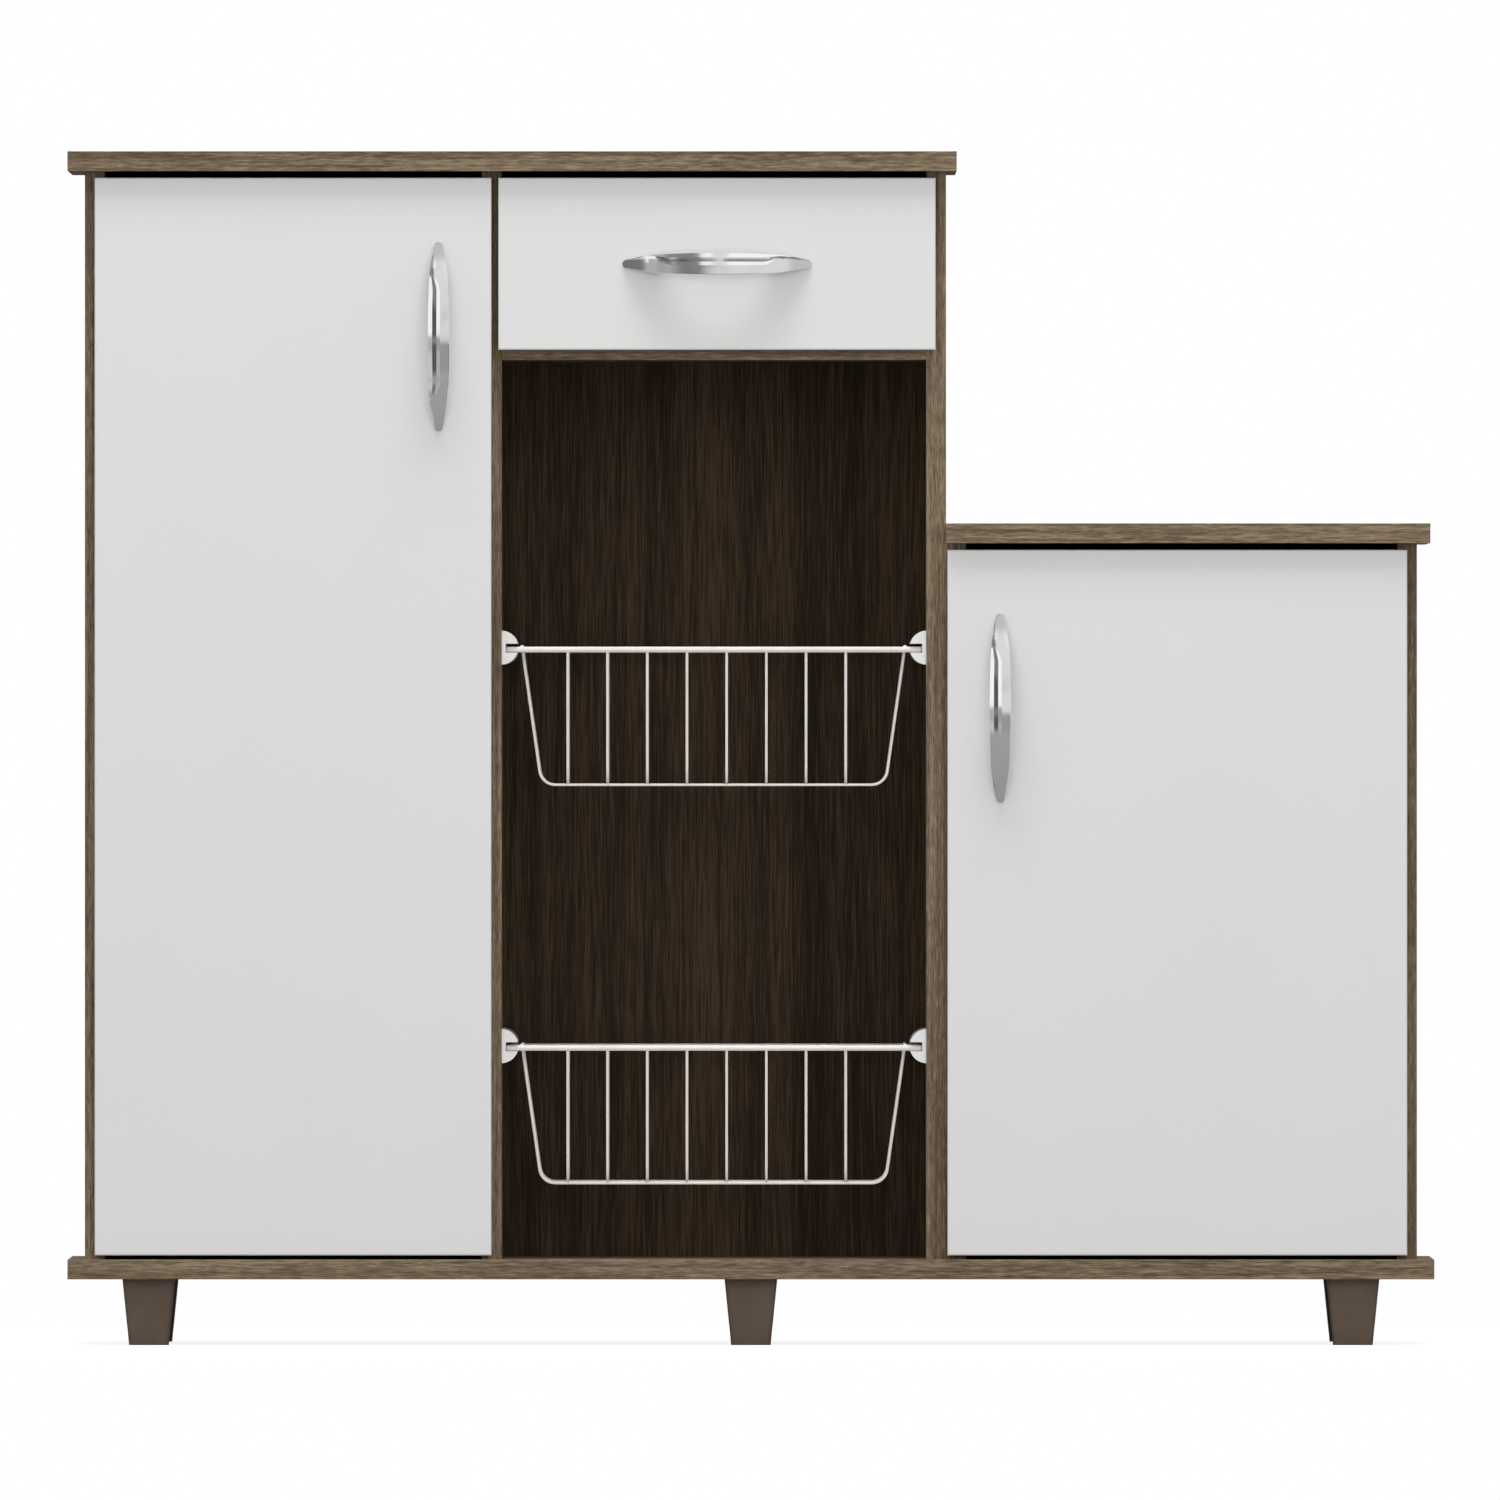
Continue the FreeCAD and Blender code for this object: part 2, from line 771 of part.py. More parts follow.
def handle(name, x, z, turn=0):
    """A bow handle: a curved bar that runs out into two leaf-shaped feet.

    Its origin is the middle of its seat on the door's face, and it stands to the front.
    """
    piece = Piece(name)
    half = size("handle_length") / 2
    tip = size("handle_tip")
    gap = size("handle_gap_half")
    width = size("handle_width") / 2
    end_width = size("handle_end_width") / 2
    tip_width = size("handle_tip_width") / 2
    rise = size("handle_rise")
    bow = path(
        [(zero, -half), (-tip, -half), (-tip, half), (zero, half), (zero, gap), (zero, -gap)],
        {1: -arc_radius(half, rise - tip), 4: arc_radius(gap, size("handle_gap_rise"))},
    )
    piece.pad("x", -width, width, bow)
    bend = arc_radius(half, width - end_width)
    leaf = path(
        [(-end_width, -half), (end_width, -half), (end_width, half), (-end_width, half)],
        {1: bend, 3: bend},
    )
    frame = rectangle((-width - overrun, width + overrun), (-half - overrun, half + overrun))
    piece.pocket("y", -rise - overrun, zero, frame, leaf)

    def outer(box):
        past_gap = max(box.ZMax, -box.ZMin) > gap.number + overrun.number
        return past_gap and box.YMin < -rise.number / 2

    piece.soften("Chamfer", size("handle_facet"), lambda box: outer(box) and box.XMin < 0)
    piece.soften("Fillet", size("handle_edge_round"), lambda box: outer(box) and box.XMin > 0)
    foot = size("handle_foot_start")
    foot_width = width - bend + (bend * bend - foot * foot).root() + size("edge_match")
    shoulder = half - size("handle_tip_round")
    curve = arc_radius(tip_width, size("handle_tip_round"))
    feet = path(
        [
            (-tip_width, -shoulder),
            (tip_width, -shoulder),
            (foot_width, -foot),
            (width + overrun, -foot),
            (width + overrun, foot),
            (foot_width, foot),
            (tip_width, shoulder),
            (-tip_width, shoulder),
            (-foot_width, foot),
            (-width - overrun, foot),
            (-width - overrun, -foot),
            (-foot_width, -foot),
        ],
        {0: curve, 6: curve},
    )
    wide_frame = rectangle((-width - overrun * 2, width + overrun * 2), (-half - overrun, half + overrun))
    piece.pocket("y", -rise - overrun, zero, wide_frame, feet)
    screws = [(zero, size("handle_screw_half")), (zero, -size("handle_screw_half"))]
    radius = size("handle_screw_radius") + size("screw_fit")
    piece.pocket("y", -size("handle_screw_grip"), zero, circles(screws, radius))
    place(piece.body, x, door_front, z, BACK, turn)


def handle_screw_places(x, z, level=False):
    reach = size("handle_screw_half")
    if level:
        return [(x + reach, z), (x - reach, z)]
    return [(x, z + reach), (x, z - reach)]


def doors():
    small = screw(
        "small_screw",
        size("screw_radius"),
        size("screw_length"),
        size("screw_head"),
        size("screw_head_height"),
    )
    long = screw(
        "handle_screw",
        size("handle_screw_radius"),
        size("door") + size("handle_screw_grip") - size("screw_fit"),
        size("handle_screw_head"),
        size("handle_screw_head_height"),
    )
    left = slab("left_door_panel", left_door, (door_low, tall_door_top))
    x, z = left_door[1] - size("handle_edge_inset"), tall_door_top - size("handle_drop")
    bores = handle_screw_places(x, z)
    handle_bores(left, bores)
    cup_screws = hinge_bores(left, left_door[0], 1, tall_hinges)
    handle("left_door_handle", x, z)
    group("left_door_handle_screws", copies(long, [(a, door_back, b) for a, b in bores], UP, 180))
    group("left_hinge_cup_screws", copies(small, cup_screws, UP, 180))
    hinges("left", left_door[0], 1, left_face + board, tall_hinges, 0)

    right = slab("right_door_panel", right_door, (door_low, low_door_top))
    x, z = right_door[0] + size("handle_edge_inset"), low_door_top - size("low_handle_drop")
    bores = handle_screw_places(x, z)
    handle_bores(right, bores)
    cup_screws = hinge_bores(right, right_door[1], -1, low_hinges)
    handle("right_door_handle", x, z)
    group("right_door_handle_screws", copies(long, [(a, door_back, b) for a, b in bores], UP, 180))
    group("right_hinge_cup_screws", copies(small, cup_screws, UP, 180))
    hinges("right", right_door[1], -1, low_right, low_hinges, 180)

    reach = size("mount_screw_half")
    plate = size("mount_plate")
    at_left = [(left_face + board + plate, mount_y, h + r) for h in tall_hinges for r in (reach, -reach)]
    at_right = [(low_right - plate, mount_y, h + r) for h in low_hinges for r in (reach, -reach)]
    group("hinge_arm_screws", copies(small, at_left, UP, 90) + copies(small, at_right, UP, -90))
    return long


# Drawer


def drawer(long_screw):
    gap = size("drawer_side_gap")
    thick = size("drawer_side")
    low = rail_top + size("drawer_lift")
    high = low + size("drawer_side_height")
    back = door_back + size("drawer_length")
    outer = (divider_right + gap, tall_right - gap)
    inner = (outer[0] + thick, outer[1] - thick)
    middle = (low + high) / 2
    strip_half = size("strip_height") / 2
    play = size("strip_play")
    groove = size("strip_grip") + play
    slot = size("drawer_floor_groove")
    loose = size("drawer_floor_play")
    base = low + size("drawer_floor_rise")
    floor_z = (base, base + size("drawer_floor"))

    front = slab("drawer_front", drawer_front, (front_low, tall_door_top))
    x, z = (drawer_front[0] + drawer_front[1]) / 2, (front_low + tall_door_top) / 2
    bores = handle_screw_places(x, z, level=True)
    handle_bores(front, bores)
    handle("drawer_handle", x, z, turn=90)
    group("drawer_handle_screws", copies(long_screw, [(a, door_back, b) for a, b in bores], UP, 180))

    strip_z = (middle - strip_half - play, middle + strip_half + play)
    floor_slot = (floor_z[0] - loose, floor_z[1] + loose)
    length = (door_back, back)
    for name, x, strip_x, floor_x in (
        (
            "drawer_left_side",
            (outer[0], inner[0]),
            (outer[0], outer[0] + groove),
            (inner[0] - slot, inner[0]),
        ),
        (
            "drawer_right_side",
            (inner[1], outer[1]),
            (outer[1] - groove, outer[1]),
            (inner[1], inner[1] + slot),
        ),
    ):
        piece = block(name, x, length, (low, high))
        piece.pocket("y", *length, rectangle(strip_x, strip_z))
        piece.pocket("y", *length, rectangle(floor_x, floor_slot))
    block("drawer_back", inner, (back - thick, back), (floor_z[1] + loose, high - size("drawer_back_drop")))
    floor_x = (inner[0] - slot + loose, inner[1] + slot - loose)
    block("drawer_bottom", floor_x, length, floor_z)

    y = (panel_front + size("strip_front_inset"), panel_back - size("strip_back_inset"))
    z = (middle - strip_half, middle + strip_half)
    reach = gap + size("strip_grip")
    ends = size("strip_end_round")
    for name, x in (
        ("drawer_runner_left", (divider_right, divider_right + reach)),
        ("drawer_runner_right", (tall_right - reach, tall_right)),
    ):
        strip = Piece(name)
        strip.pad("x", x[0], x[1], rounded(y, z, ends))


# Wire baskets and their runners


def basket_runner(name, x, z, turn):
    """A half-round rail with a slot along its nose; its origin is on the panel's face at its middle."""
    piece = Piece(name)
    half = size("runner_half")
    rise = size("runner_rise")
    length = (panel_back - size("runner_back_inset")) - (panel_front + size("runner_front_inset"))
    shape = path(
        [(zero, -half), (rise, zero), (zero, half)],
        {0: arc_radius(half, rise), 1: arc_radius(half, rise)},
    )
    piece.pad("y", -length / 2, length / 2, shape)
    low = -size("slot_below") - size("runner_above_rod")
    high = size("slot_above") - size("runner_above_rod")
    piece.pocket("y", -length / 2, length / 2, rectangle((size("runner_base"), rise + overrun), (low, high)))
    middle = panel_front + size("runner_front_inset") + length / 2
    place(piece.body, x, middle, z + size("runner_above_rod"), UP, turn)


def hoop(name, across, top_half, drop, lean):
    """A wire bent to a wide U with leaning legs; its origin is midway between its ends."""
    piece = Piece(name, shown=False)
    bend = size("wire_bend")
    bottom_half = top_half - lean
    leg = (lean * lean + drop * drop).root()
    reach = bend * ((leg - lean) / (leg + lean)).root()
    knee = (bottom_half + reach * lean / leg, reach * drop / leg - drop)
    flat = bottom_half - reach
    spine = path(
        [
            (-top_half, zero),
            (-knee[0], knee[1]),
            (-flat, -drop),
            (flat, -drop),
            knee,
            (top_half, zero),
        ],
        {1: bend, 3: bend},
        closed=False,
    )
    line = piece.sketch(across, zero, spine)
    start = (-top_half, zero) if across == "y" else (zero, -top_half)
    ring = piece.sketch("z", zero, circles([start], size("wire_radius")))
    piece.feature("AdditivePipe", ring, Spine=line)
    return piece


def basket(name, rod_z, wires):
    """The fused frame of four rods, and the wires that hang from it."""
    rod = size("rod_radius")
    thin = size("side_rod_radius")
    play = size("runner_base") + size("rod_end_play")
    rod_x = (divider_right + play, tall_right - play)
    front = panel_front + size("basket_front_inset")
    back = front + size("basket_length")
    side_x = (rod_x[0] + size("side_rod_left"), rod_x[1] - size("side_rod_right"))
    frame = Piece(f"{name}_basket_frame")
    frame.pad("x", *rod_x, circles([(front, rod_z), (back, rod_z)], rod))
    side_z = rod_z + size("side_rod_rise")
    frame.pad("y", front, back, circles([(side_x[0], side_z), (side_x[1], side_z)], thin))

    cross_hoop, long_hoop = wires
    middle_y = (front + back) / 2
    weld = size("weld_gap")
    bottom_half = size("basket_length") / 2 - size("wire_lean") - size("wire_bend")
    cross_places = []
    for i in range(CROSS_WIRES):
        share = 2 * i / (CROSS_WIRES - 1) - 1
        y = middle_y + bottom_half * share
        cross_places.append(((side_x[0] + side_x[1]) / 2, y, side_z - thin - weld))
    long_places = []
    for i in range(LONG_WIRES):
        x = side_x[0] + size("long_wire_first") + size("long_wire_pitch") * i
        long_places.append((x, middle_y, rod_z - rod - weld))
    group(f"{name}_basket_wires", copies(cross_hoop, cross_places) + copies(long_hoop, long_places))


def baskets():
    rod = size("rod_radius")
    weld = size("weld_gap")
    play = size("runner_base") + size("rod_end_play")
    side_span = size("middle_bay") - play * 2 - size("side_rod_left") - size("side_rod_right")
    rise = size("side_rod_rise") - size("side_rod_radius") - weld
    cross_hoop = hoop("cross_wire", "y", side_span / 2, size("basket_drop") + rise, size("wire_lean"))
    long_drop = size("basket_drop") - rod - weld - size("wire_radius") * 2 - weld
    long_hoop = hoop("long_wire", "x", size("basket_length") / 2, long_drop, size("wire_lean"))
    for name, height in (("upper", "upper_rod_height"), ("lower", "lower_rod_height")):
        basket(name, size(height), (cross_hoop, long_hoop))
        basket_runner(f"{name}_basket_runner_left", divider_right, size(height), 0)
        basket_runner(f"{name}_basket_runner_right", tall_right, size(height), 180)


def main():
    screws = carcass()
    shelves()
    feet()
    panel_screw = screw(
        "panel_screw",
        size("panel_screw_radius"),
        size("panel_screw_length"),
        size("panel_screw_head"),
        size("panel_screw_head_depth"),
        sunk=True,
    )
    group("panel_screws", copies(panel_screw, [(x, y, floor_low) for x, y in screws], RIGHT, 90))
    drawer(doors())
    baskets()
    doc.recompute()

    for item in doc.Objects:
        if {"Invalid", "Error"} & set(item.State):
            raise RuntimeError(f"{item.Label} failed")
    for cut in cuts:
        if cut.Shape.Volume >= cut.BaseFeature.Shape.Volume:
            raise RuntimeError(f"{cut.Label} removes nothing")
    for name, item in parts.items():
        if item.Shape.isNull() or not item.Shape.isValid():
            raise RuntimeError(f"{name} has no valid shape")
    os.makedirs("parts", exist_ok=True)
    for name, item in parts.items():
        item.Shape.exportStep(f"parts/{name}.step")
    print(len(parts), "sub-parts")


main()
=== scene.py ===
import math

import bpy
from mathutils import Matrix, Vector


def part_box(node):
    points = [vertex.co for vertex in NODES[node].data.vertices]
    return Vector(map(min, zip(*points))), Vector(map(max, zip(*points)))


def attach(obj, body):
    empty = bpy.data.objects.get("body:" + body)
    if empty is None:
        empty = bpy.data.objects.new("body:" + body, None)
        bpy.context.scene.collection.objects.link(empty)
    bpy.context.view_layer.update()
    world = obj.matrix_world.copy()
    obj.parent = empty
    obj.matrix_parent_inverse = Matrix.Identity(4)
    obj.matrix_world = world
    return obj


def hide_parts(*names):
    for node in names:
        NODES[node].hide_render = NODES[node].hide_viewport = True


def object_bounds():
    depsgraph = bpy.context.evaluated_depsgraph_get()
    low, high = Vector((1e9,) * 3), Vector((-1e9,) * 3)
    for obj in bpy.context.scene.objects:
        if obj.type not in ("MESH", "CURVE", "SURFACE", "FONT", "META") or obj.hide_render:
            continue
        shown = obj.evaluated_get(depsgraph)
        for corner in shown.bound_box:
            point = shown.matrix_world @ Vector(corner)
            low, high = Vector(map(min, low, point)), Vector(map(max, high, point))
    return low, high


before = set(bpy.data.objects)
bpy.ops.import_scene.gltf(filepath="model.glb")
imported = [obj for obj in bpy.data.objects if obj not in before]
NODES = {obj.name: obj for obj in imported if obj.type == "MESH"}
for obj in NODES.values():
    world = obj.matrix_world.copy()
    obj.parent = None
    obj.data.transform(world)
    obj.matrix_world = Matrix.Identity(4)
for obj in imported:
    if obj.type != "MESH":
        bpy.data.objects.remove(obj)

CAD_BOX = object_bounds()
MM = 0.001

# Colours, as linear values that look right in plain light. A wood has a pale, a middle and a dark
# tone.
OAK = [(0.285, 0.217, 0.141, 1), (0.176, 0.128, 0.079, 1), (0.090, 0.062, 0.036, 1)]
WALNUT = [(0.092, 0.057, 0.031, 1), (0.044, 0.0265, 0.0150, 1), (0.024, 0.0145, 0.0086, 1)]
WHITE_FRONT = (0.725, 0.725, 0.725, 1)
WHITE_FRONT_WARM = (0.712, 0.708, 0.700, 1)
WHITE_FRONT_FLECK = (0.5, 0.5, 0.5, 1)
CHROME = (0.90, 0.90, 0.91, 1)
CHROME_HAZE = (0.82, 0.82, 0.84, 1)
NICKEL = (0.62, 0.60, 0.57, 1)
NICKEL_DULL = (0.48, 0.46, 0.43, 1)
ZINC = (0.66, 0.66, 0.62, 1)
ZINC_DULL = (0.5, 0.5, 0.46, 1)
FOOT_BROWN = (0.125, 0.084, 0.060, 1)
FOOT_BROWN_WORN = (0.160, 0.113, 0.084, 1)
COATED_WIRE = (0.90, 0.865, 0.835, 1)
WIRE_GRIME = (0.78, 0.73, 0.68, 1)
RUNNER_WHITE = (0.80, 0.80, 0.79, 1)
RUNNER_DUST = (0.66, 0.65, 0.62, 1)
FLOOR_PALE = (0.28, 0.28, 0.28, 1)
FLOOR_GREYER = (0.25, 0.25, 0.25, 1)
BLACK = (0, 0, 0, 1)
WHITE = (1, 1, 1, 1)


# Node trees as expressions


class Socket:
    """One value in a material, so that sums with it add their own nodes."""

    def __init__(self, finish, socket):
        self.finish = finish
        self.socket = socket

    def sister(self, name):
        """Another output of the same node."""
        return Socket(self.finish, self.socket.node.outputs[name])

    def work(self, operation, *values):
        """One Math node on these values."""
        return self.finish.node("Math", {"operation": operation}, dict(enumerate(values)))

    def __add__(self, other):
        return self.work("ADD", self, other)

    def __sub__(self, other):
        return self.work("SUBTRACT", self, other)

    def __mul__(self, other):
        return self.work("MULTIPLY", self, other)

    def __rsub__(self, other):
        return self.work("SUBTRACT", other, self)

    __radd__ = __add__
    __rmul__ = __mul__

    def towards(self, other, share):
        """This value where share is 0, the other one where it is 1."""
        return self * (1 - share) + share * other

    def over(self, edge, soft):
        """0 below edge - soft, 1 above edge + soft, and a smooth ramp between them."""
        return self.finish.node(
            "MapRange",
            {"interpolation_type": "SMOOTHSTEP"},
            {"Value": self, "From Min": edge - soft, "From Max": edge + soft},
        )

    def between(self, low, high, soft):
        """1 from low to high and 0 outside, with both edges this soft."""
        return self.over(low, soft) * (1 - self.over(high, soft))


class Finish:
    """A material, or the world, built from nodes by one method."""

    def __init__(self, name, tree=None):
        if tree is None:
            self.material = bpy.data.materials.new(name)
            self.material.use_nodes = True
            tree = self.material.node_tree
        self.tree = tree
        self.tree.nodes.clear()

    def node(self, kind, settings=None, sockets=None, out=0):
        """Adds a node of this type: first its settings, then the values or links of its sockets."""
        made = self.tree.nodes.new("ShaderNode" + kind)
        for key, value in (settings or {}).items():
            if key == "stops":
                self.fill_ramp(made.color_ramp, value)
            else:
                setattr(made, key, value)
        for key, value in (sockets or {}).items():
            if isinstance(value, Socket):
                self.tree.links.new(value.socket, made.inputs[key])
            else:
                made.inputs[key].default_value = value
        return Socket(self, made.outputs[out] if made.outputs else None)

    def fill_ramp(self, ramp, stops):
        """Gives a colour ramp its stops, each a place and a colour."""
        while len(ramp.elements) < len(stops):
            ramp.elements.new(0.5)
        for element, (place, colour) in zip(ramp.elements, stops):
            element.position = place
            element.color = colour

    def place(self, scale, shift=(0, 0, 0)):
        """Where a point lies on the object, in metres, stretched by scale."""
        where = self.node("TexCoord", out="Object")
        return self.node("Mapping", None, {"Vector": where, "Location": shift, "Scale": scale})

    def noise(self, where, detail, rough, bent=0.0):
        values = {
            "Vector": where,
            "Scale": 1.0,
            "Detail": detail,
            "Roughness": rough,
            "Distortion": bent,
        }
        return self.node("TexNoise", None, values)

    def speckle(self, per_metre, detail, rough):
        """An even noise with this many features to the metre in every direction."""
        return self.noise(self.place((per_metre, per_metre, per_metre)), detail, rough)

    def blend(self, share, first, second):
        """The first colour where share is 0, the second where it is 1."""
        sockets = {0: share, 6: first, 7: second}
        return self.node("Mix", {"data_type": "RGBA", "blend_type": "MIX"}, sockets, out=2)

    def bump(self, height, depth, strength):
        values = {"Height": height, "Distance": depth, "Strength": strength}
        return self.node("Bump", None, values)

    def shade(self, **values):
        """The surface itself. Its sockets are named in lower case, with _ for each space."""
        sockets = {}
        for key, value in values.items():
            sockets[key.replace("_", " ").title().replace("Ior", "IOR")] = value
        surface = self.node("BsdfPrincipled", None, sockets)
        self.node("OutputMaterial", None, {"Surface": surface})
        return self.material


# Wood

# Layers of a printed woodgrain: features per metre along and across the grain, then the detail,
# roughness and bend of the noise
GRAIN_BANDS = (1.1, 46, 3.0, 0.55, 0.15)
GRAIN_STREAKS = (11, 330, 4.0, 0.62, 0.1)
GRAIN_FIBRES = (55, 900, 2.0, 0.6, 0.0)
GRAIN_PORES = (70, 1500, 1.0, 0.5, 0.0)

# Where the dark, the middle and the pale tone lie on the scale of a grain's tone
DARK_AT, MIDDLE_AT, PALE_AT = 0.40, 0.50, 0.60

# How far a seed moves the print along x, y and z
SEED_STEPS = (1.0, 1.7, 0.6)

# A wood's print: its tones, how long its streaks and its pores are, how its tone is shared between
# bands, streaks and fibres, and its sheen
OAK_PRINT = {
    "tones": OAK,
    "lengths": (1.8, 0.7),
    "weights": (0.28, 0.38, 0.46),
    "sheen": 0.3,
}
WALNUT_PRINT = {
    "tones": WALNUT,
    "lengths": (2.0, 2.4),
    "weights": (0.36, 0.27, 0.56),
    "sheen": 0.2,
}


def along(grain, slow, fast):
    """Scale of a pattern that runs slowly along the grain and fast across it."""
    return tuple(slow if axis == grain else fast for axis in "xyz")


def woodgrain(name, grain, seed, painted_light_lift, tones, lengths, weights, sheen):
    """Printed woodgrain laminate: soft bands, streaks, fine fibres and short dark pores.

    The grain runs along x, y or z and the seed moves the print. Light and shade are painted on with
    a lift: above 0 it makes the whole board paler, below 0 darker.
    """
    f = Finish(name)
    pale, middle, dark = tones
    streak_length, pore_length = lengths
    band_weight, streak_weight, fibre_weight = weights
    shift = tuple(seed * step for step in SEED_STEPS)

    def layer(values, length):
        slow, fast, detail, rough, bent = values
        return f.noise(f.place(along(grain, slow / length, fast), shift), detail, rough, bent)

    bands = layer(GRAIN_BANDS, streak_length)
    streaks = layer(GRAIN_STREAKS, streak_length)
    fibres = layer(GRAIN_FIBRES, pore_length)
    pits = layer(GRAIN_PORES, pore_length).over(edge=0.62, soft=0.06)
    # Painted light and shade: a lift above 0 makes the whole tone paler, below 0 darker
    centred = MIDDLE_AT - sum(weights) / 2 + painted_light_lift
    tone = bands * band_weight + streaks * streak_weight + fibres * fibre_weight + centred
    stops = [(DARK_AT, dark), (MIDDLE_AT, middle), (PALE_AT, pale)]
    printed = f.node("ValToRGB", {"stops": stops}, {"Fac": tone})
    colour = f.blend(pits * 0.6, printed, dark)
    rough = 0.50 + fibres * 0.16 - bands * 0.08 + pits * 0.1
    height = fibres * 0.6 + streaks * 0.5 - pits * 0.8
    relief = f.bump(height, depth=0.12 * MM, strength=0.5)
    return f.shade(base_color=colour, roughness=rough, normal=relief, specular_ior_level=sheen)


# Other finishes


def white_laminate():
    """Satin white front foil with a faint orange peel and uneven sheen."""
    f = Finish("white_laminate")
    cloud = f.speckle(per_metre=5, detail=3, rough=0.6)
    fleck = f.speckle(per_metre=900, detail=2, rough=0.7)
    peel = f.speckle(per_metre=330, detail=3, rough=0.55)
    warmth = cloud.over(edge=0.5, soft=0.2) * 0.5
    specks = fleck.over(edge=0.62, soft=0.08) * 0.05
    colour = f.blend(warmth, WHITE_FRONT, WHITE_FRONT_WARM)
    colour = f.blend(specks, colour, WHITE_FRONT_FLECK)
    rough = 0.36 + peel * 0.10 + cloud * 0.06
    relief = f.bump(peel * 0.7 + fleck * 0.3, depth=0.06 * MM, strength=0.35)
    return f.shade(base_color=colour, roughness=rough, normal=relief, specular_ior_level=0.4)


def bright_chrome():
    """Polished chrome plate over a cast bow, with faint buffing lines and finger haze."""
    f = Finish("bright_chrome")
    haze = f.speckle(per_metre=70, detail=4, rough=0.6)
    lines = f.noise(f.place((1500, 1500, 90)), detail=2, rough=0.5)
    rough = 0.085 + haze.over(edge=0.58, soft=0.14) * 0.08 + lines * 0.03
    relief = f.bump(lines, depth=0.02 * MM, strength=0.15)
    colour = f.blend(haze.over(edge=0.5, soft=0.25) * 0.25, CHROME, CHROME_HAZE)
    return f.shade(base_color=colour, metallic=1.0, roughness=rough, normal=relief)


def pressed_metal(name, bright, dull, lines_per_metre):
    """Nickel or zinc plated pressed metal with rolling lines and dull patches."""
    f = Finish(name)
    lines = f.noise(f.place(lines_per_metre), detail=3, rough=0.6)
    patches = f.speckle(per_metre=160, detail=3, rough=0.55)
    colour = f.blend(patches.over(edge=0.55, soft=0.12) * 0.6, bright, dull)
    rough = 0.26 + patches * 0.16 + lines * 0.08
    relief = f.bump(lines + patches * 0.5, depth=0.04 * MM, strength=0.3)
    return f.shade(base_color=colour, metallic=1.0, roughness=rough, normal=relief)


def coated_wire():
    """White plastic coat on steel wire, thicker in places, with patches of slight grime."""
    f = Finish("coated_wire")
    runs = f.speckle(per_metre=420, detail=3, rough=0.6)
    grime = f.speckle(per_metre=45, detail=2, rough=0.5)
    return f.shade(
        base_color=f.blend(grime.over(edge=0.56, soft=0.16) * 0.35, COATED_WIRE, WIRE_GRIME),
        roughness=0.30 + runs * 0.14,
        normal=f.bump(runs, depth=0.08 * MM, strength=0.35),
        diffuse_roughness=1.0,
        coat_weight=0.25,
        coat_roughness=0.15,
    )


def brown_moulding():
    """Injection-moulded brown plastic with a spark-eroded grain and paler rubbed patches."""
    f = Finish("brown_moulding")
    texture = f.speckle(per_metre=900, detail=3, rough=0.6)
    rubbed = f.speckle(per_metre=28, detail=4, rough=0.6)
    colour = f.blend(rubbed.over(edge=0.56, soft=0.14) * 0.45, FOOT_BROWN, FOOT_BROWN_WORN)
    rough = 0.42 + texture * 0.14 - rubbed * 0.05
    relief = f.bump(texture, depth=0.09 * MM, strength=0.4)
    return f.shade(base_color=colour, roughness=rough, normal=relief, specular_ior_level=0.45)


def white_extrusion():
    """Extruded white plastic with fine die lines along its length."""
    f = Finish("white_extrusion")
    lines = f.noise(f.place((1300, 3, 1300)), detail=3, rough=0.55)
    dust = f.noise(f.place((60, 30, 60)), detail=3, rough=0.6)
    colour = f.blend(dust.over(edge=0.58, soft=0.12) * 0.3, RUNNER_WHITE, RUNNER_DUST)
    rough = 0.34 + lines * 0.12
    relief = f.bump(lines, depth=0.06 * MM, strength=0.35)
    return f.shade(base_color=colour, roughness=rough, normal=relief)


# Mesh helpers

BOARD_EDGE = 0.35 * MM
BOARD_EDGE_SEGMENTS = 2
BOARD_EDGE_ANGLE = math.radians(40)
WELD_DISTANCE = 0.01 * MM


def mesh_piece(name, points, faces, finish, smooth=True):
    data = bpy.data.meshes.new(name)
    data.from_pydata([tuple(p) for p in points], [], faces)
    data.validate()
    for polygon in data.polygons:
        polygon.use_smooth = smooth
    data.materials.append(finish)
    made = bpy.data.objects.new(name, data)
    bpy.context.scene.collection.objects.link(made)
    return made


def skin(rings):
    """Quads between equal rings of points, with one face over each end."""
    count = len(rings[0])
    points = [p for ring in rings for p in ring]
    faces = []
    for i in range(len(rings) - 1):
        for j in range(count):
            a, b = i * count + j, i * count + (j + 1) % count
            faces.append((a, b, b + count, a + count))
    last = (len(rings) - 1) * count
    faces.append(tuple(range(count))[::-1])
    faces.append(tuple(range(last, last + count)))
    return points, faces


def bevelled(board):
    """Softens the sharp edges of a board so that they catch the light."""
    weld = board.modifiers.new("weld", "WELD")
    weld.merge_threshold = WELD_DISTANCE
    edge = board.modifiers.new("soft_edges", "BEVEL")
    edge.width = BOARD_EDGE
    edge.segments = BOARD_EDGE_SEGMENTS
    edge.limit_method = "ANGLE"
    edge.angle_limit = BOARD_EDGE_ANGLE
    edge.harden_normals = False


def dress(node, finish):
    """Gives a CAD node its material."""
    data = NODES[node].data
    data.materials.clear()
    data.materials.append(finish)


# Bow handles

HANDLE_STEPS = 150
CREASE_ANGLE = math.radians(9)
GRIP_HALF = 45 * MM
GRIP_RISE = 22 * MM
GRIP_OVERLAP = 7 * MM
GRIP_FADE = 18 * MM
END_HALF = 5.5 * MM
FOOT_START = 48 * MM
FOOT_BLEND = 0.8 * MM
TIP_HALF = 3.3 * MM
TIP_LEAST = 0.2 * MM
TIP_RISE = 1.5 * MM
TIP_ROUND = 2.6 * MM

